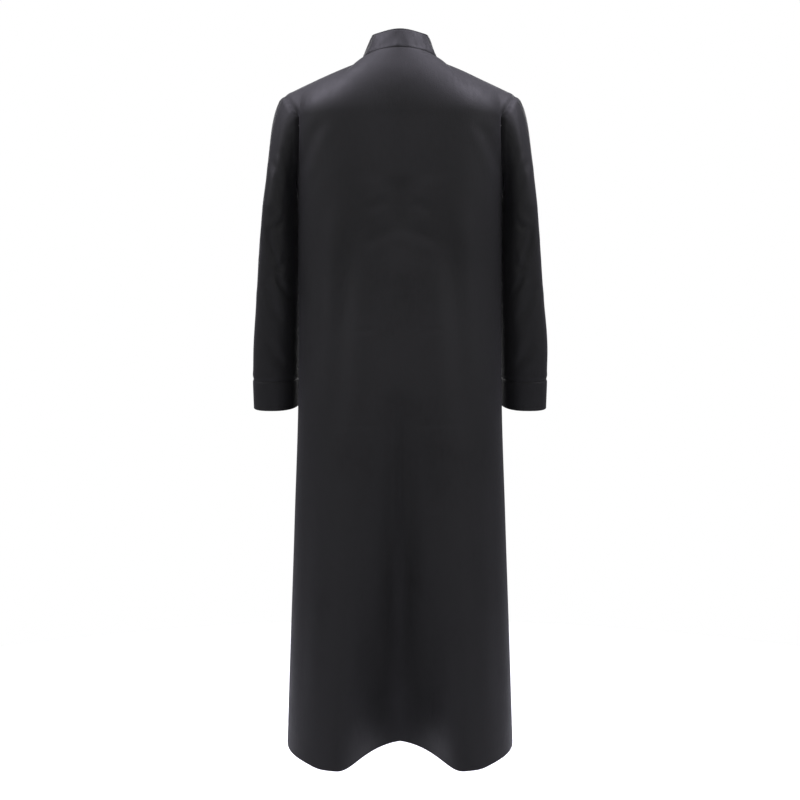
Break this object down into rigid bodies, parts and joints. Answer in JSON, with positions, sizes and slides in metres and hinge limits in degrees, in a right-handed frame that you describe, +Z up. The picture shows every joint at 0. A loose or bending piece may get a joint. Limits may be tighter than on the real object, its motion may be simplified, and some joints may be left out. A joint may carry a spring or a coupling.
{
  "type": "cassock",
  "caption": "Long black cassock in its worn, hollow shape: standing band collar, set-in sleeves with cuffs, lapped buttoned front and one deep hanging fold at the back.",
  "frame": {"origin": "the middle of the neck, level with the neck ends of the shoulder seams, where the wearer's neck and shoulders hold the garment up", "axes": "+Z up along the garment's length, -Y out of the front, +Y out of the back, +X to the wearer's left"},
  "size_m": [0.5924, 0.3128, 1.4138],
  "materials": {
    "cloth": "black polyester suiting in a fine twill, with a soft satin sheen",
    "buttons": "black, polished, low dome"
  },
  "bodies": {
    "root": {"back": "cloth", "button_01": "buttons", "button_02": "buttons", "button_03": "buttons", "button_04": "buttons", "button_05": "buttons", "button_06": "buttons", "button_07": "buttons", "button_08": "buttons", "button_09": "buttons", "button_10": "buttons", "button_11": "buttons", "button_12": "buttons", "button_13": "buttons", "button_14": "buttons", "button_15": "buttons", "button_16": "buttons", "button_17": "buttons", "button_18": "buttons", "collar": "cloth", "cuff_left": "cloth", "cuff_right": "cloth", "front_left": "cloth", "front_right": "cloth", "sleeve_left": "cloth", "sleeve_right": "cloth"}
  },
  "joints": []
}
